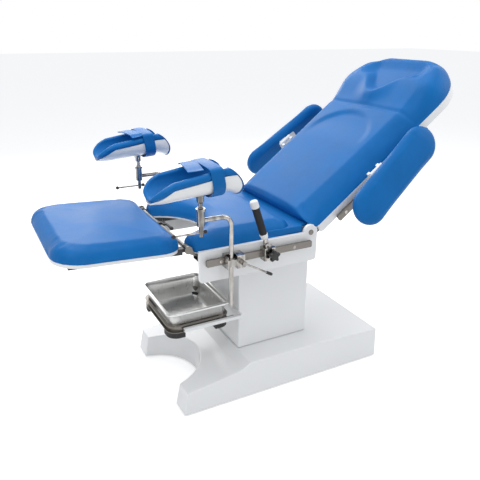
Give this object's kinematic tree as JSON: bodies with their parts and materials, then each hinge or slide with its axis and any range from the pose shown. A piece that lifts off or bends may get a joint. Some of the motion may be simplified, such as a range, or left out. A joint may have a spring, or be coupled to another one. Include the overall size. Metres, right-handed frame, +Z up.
{
  "type": "electric gynaecological examination table",
  "caption": "Powered examination table with a lifting column, tilting back, folding leg section with a round cut, clamped calf rests, arm rests and a drain pan.",
  "frame": {"origin": "floor level, under the middle of the table's overall box", "axes": "+X towards the head end, +Z up, -Y the side with the hand grip"},
  "size_m": [1.6494, 0.8614, 1.2374],
  "materials": {
    "white_cover": "smooth gloss",
    "white_paint": "gloss powder coat",
    "grey_paint": "satin",
    "black_paint": "satin",
    "stainless": "brushed",
    "bright_steel": "polished",
    "zinc_steel": "plain",
    "blue_vinyl": "satin vinyl",
    "blue_strap": "woven strap",
    "black_plastic": "matt",
    "black_rubber": "matt",
    "guide_plastic": "low friction",
    "board": "plywood"
  },
  "bodies": {
    "base": {"base_cover": "white_cover", "base_frame": "black_paint", "levelling_feet": "black_rubber", "mains_inlet": "black_plastic", "column_inner": "grey_paint", "lift_motor": "black_paint"},
    "carriage": {"column_outer": "white_paint", "guide_pads": "guide_plastic", "lift_rod": "bright_steel", "seat_frame": "black_paint", "seat_board": "board", "seat_cushion": "blue_vinyl", "side_panel_near": "white_cover", "side_panel_far": "white_cover", "pivot_pins": "bright_steel", "side_rails": "stainless", "side_rail_stand_offs": "bright_steel", "leg_hinge": "zinc_steel", "tray_runners": "white_paint"},
    "leg_section": {"leg_frame": "black_paint", "leg_board": "white_cover", "leg_cushion": "blue_vinyl"},
    "leg_latch": {"leg_lock_lever": "black_plastic"},
    "back_section": {"back_frame": "black_paint", "back_shell": "white_cover", "back_cushion": "blue_vinyl", "back_rails": "stainless", "back_rail_stand_offs": "bright_steel"},
    "back_drive": {"back_actuator": "black_plastic"},
    "back_drive_rod": {"back_actuator_rod": "bright_steel"},
    "tray": {"tray_carrier": "stainless", "tray_corner_rubbers": "black_rubber"},
    "pan": {"drain_pan": "bright_steel"},
    "grip_mount": {"grip_clamp": "bright_steel"},
    "grip_lock": {"grip_knob": "black_plastic"},
    "grip": {"hand_grip": "black_plastic"},
    "leg_mount_near": {"leg_clamp_near": "bright_steel"},
    "swivel_bush_near": {"clamp_bush_near": "bright_steel"},
    "leg_lever_near": {"clamp_lever_near": "bright_steel"},
    "leg_pole_near": {"leg_pole_near": "bright_steel"},
    "calf_stem_near": {"calf_post_near": "bright_steel"},
    "stem_bar_near": {"tommy_bar_near": "bright_steel"},
    "calf_rest_near": {"calf_shell_near": "white_cover", "calf_pad_near": "blue_vinyl", "calf_strap_near": "blue_strap"},
    "arm_mount_near": {"arm_clamp_near": "bright_steel"},
    "arm_rest_near": {"arm_bracket_near": "zinc_steel", "arm_pad_near": "blue_vinyl"},
    "leg_mount_far": {"leg_clamp_far": "bright_steel"},
    "swivel_bush_far": {"clamp_bush_far": "bright_steel"},
    "leg_lever_far": {"clamp_lever_far": "bright_steel"},
    "leg_pole_far": {"leg_pole_far": "bright_steel"},
    "calf_stem_far": {"calf_post_far": "bright_steel"},
    "stem_bar_far": {"tommy_bar_far": "bright_steel"},
    "calf_rest_far": {"calf_shell_far": "white_cover", "calf_pad_far": "blue_vinyl", "calf_strap_far": "blue_strap"},
    "arm_mount_far": {"arm_clamp_far": "bright_steel"},
    "arm_rest_far": {"arm_bracket_far": "zinc_steel", "arm_pad_far": "blue_vinyl"}
  },
  "joints": [
    {"name": "lift", "type": "slide", "parent": "base", "child": "carriage", "axis": [0, 0, 1], "range_m": [0, 0.25]},
    {"name": "back_tilt", "type": "hinge", "parent": "carriage", "child": "back_section", "pos_m": [0.0904, 0, 0.653], "axis": [0, -1, 0], "range_deg": [-37.1, 25]},
    {"name": "back_drive_swing", "type": "hinge", "parent": "carriage", "child": "back_drive", "pos_m": [0.2254, 0, 0.25], "axis": [0, 1, 0], "range_deg": [-1.2, 1.75]},
    {"name": "back_drive_stroke", "type": "slide", "parent": "back_drive", "child": "back_drive_rod", "axis": [-0.0276, 0, 0.9996], "range_m": [-0.0788, 0.0532]},
    {"name": "leg_fold", "type": "hinge", "parent": "carriage", "child": "leg_section", "pos_m": [-0.3876, 0, 0.66], "axis": [0, -1, 0], "range_deg": [0, 50]},
    {"name": "leg_latch", "type": "hinge", "parent": "carriage", "child": "leg_latch", "pos_m": [-0.3876, 0.028, 0.66], "axis": [0, 1, 0], "range_deg": [-25, 25]},
    {"name": "tray_slide", "type": "slide", "parent": "carriage", "child": "tray", "axis": [-1, 0, 0], "range_m": [0, 0.1]},
    {"name": "pan_lift", "type": "slide", "parent": "tray", "child": "pan", "axis": [0, 0, 1], "range_m": [0, 0.08]},
    {"name": "grip_slide", "type": "slide", "parent": "carriage", "child": "grip_mount", "axis": [1, 0, 0], "range_m": [0, 0.08]},
    {"name": "grip_knob_turn", "type": "hinge", "parent": "grip_mount", "child": "grip_lock", "pos_m": [-0.1006, -0.33, 0.616], "axis": [0, 1, 0], "range_deg": [-180, 180]},
    {"name": "grip_lean", "type": "hinge", "parent": "grip_mount", "child": "grip", "pos_m": [-0.1146, -0.303, 0.65], "axis": [0, 1, 0], "range_deg": [0, 30]},
    {"name": "leg_mount_slide_near", "type": "slide", "parent": "carriage", "child": "leg_mount_near", "axis": [-1, 0, 0], "range_m": [0, 0.06]},
    {"name": "pole_turn_near", "type": "hinge", "parent": "leg_mount_near", "child": "swivel_bush_near", "pos_m": [-0.2596, -0.314, 0.616], "axis": [0, 0, 1], "range_deg": [-20, 8]},
    {"name": "leg_lever_turn_near", "type": "hinge", "parent": "leg_mount_near", "child": "leg_lever_near", "pos_m": [-0.2256, -0.34, 0.616], "axis": [0, -1, 0], "range_deg": [-60, 8]},
    {"name": "pole_height_near", "type": "slide", "parent": "swivel_bush_near", "child": "leg_pole_near", "axis": [0, 0, 1], "range_m": [-0.02, 0.12]},
    {"name": "calf_turn_near", "type": "hinge", "parent": "leg_pole_near", "child": "calf_stem_near", "pos_m": [-0.3686, -0.314, 0.79], "axis": [0, 0, 1], "range_deg": [-10, 10]},
    {"name": "stem_bar_slide_near", "type": "slide", "parent": "calf_stem_near", "child": "stem_bar_near", "axis": [1, 0, 0], "range_m": [0, 0.07]},
    {"name": "calf_tilt_near", "type": "hinge", "parent": "calf_stem_near", "child": "calf_rest_near", "pos_m": [-0.3686, -0.314, 0.85], "axis": [0, 1, 0], "range_deg": [-15, 15]},
    {"name": "arm_slide_near", "type": "slide", "parent": "back_section", "child": "arm_mount_near", "axis": [0.7976, 0, 0.6032], "range_m": [-0.05, 0.05]},
    {"name": "arm_turn_near", "type": "hinge", "parent": "arm_mount_near", "child": "arm_rest_near", "pos_m": [0.34033, -0.316, 0.86961], "axis": [-0.7976, 0, -0.6032], "range_deg": [0, 75]},
    {"name": "leg_mount_slide_far", "type": "slide", "parent": "carriage", "child": "leg_mount_far", "axis": [-1, 0, 0], "range_m": [0, 0.06]},
    {"name": "pole_turn_far", "type": "hinge", "parent": "leg_mount_far", "child": "swivel_bush_far", "pos_m": [-0.2596, 0.314, 0.616], "axis": [0, 0, -1], "range_deg": [-20, 8]},
    {"name": "leg_lever_turn_far", "type": "hinge", "parent": "leg_mount_far", "child": "leg_lever_far", "pos_m": [-0.2256, 0.34, 0.616], "axis": [0, 1, 0], "range_deg": [-60, 8]},
    {"name": "pole_height_far", "type": "slide", "parent": "swivel_bush_far", "child": "leg_pole_far", "axis": [0, 0, 1], "range_m": [-0.02, 0.12]},
    {"name": "calf_turn_far", "type": "hinge", "parent": "leg_pole_far", "child": "calf_stem_far", "pos_m": [-0.3686, 0.314, 0.79], "axis": [0, 0, -1], "range_deg": [-10, 10]},
    {"name": "stem_bar_slide_far", "type": "slide", "parent": "calf_stem_far", "child": "stem_bar_far", "axis": [1, 0, 0], "range_m": [0, 0.07]},
    {"name": "calf_tilt_far", "type": "hinge", "parent": "calf_stem_far", "child": "calf_rest_far", "pos_m": [-0.3686, 0.314, 0.85], "axis": [0, 1, 0], "range_deg": [-15, 15]},
    {"name": "arm_slide_far", "type": "slide", "parent": "back_section", "child": "arm_mount_far", "axis": [0.7976, 0, 0.6032], "range_m": [-0.05, 0.05]},
    {"name": "arm_turn_far", "type": "hinge", "parent": "arm_mount_far", "child": "arm_rest_far", "pos_m": [0.34033, 0.316, 0.86961], "axis": [0.7976, 0, 0.6032], "range_deg": [0, 75]}
  ],
  "couplings": [
    {"joint": "back_drive_swing", "follows": "back_tilt", "ratio": -0.046},
    {"joint": "back_drive_stroke", "follows": "back_tilt", "m_per_rad": 0.1215}
  ]
}
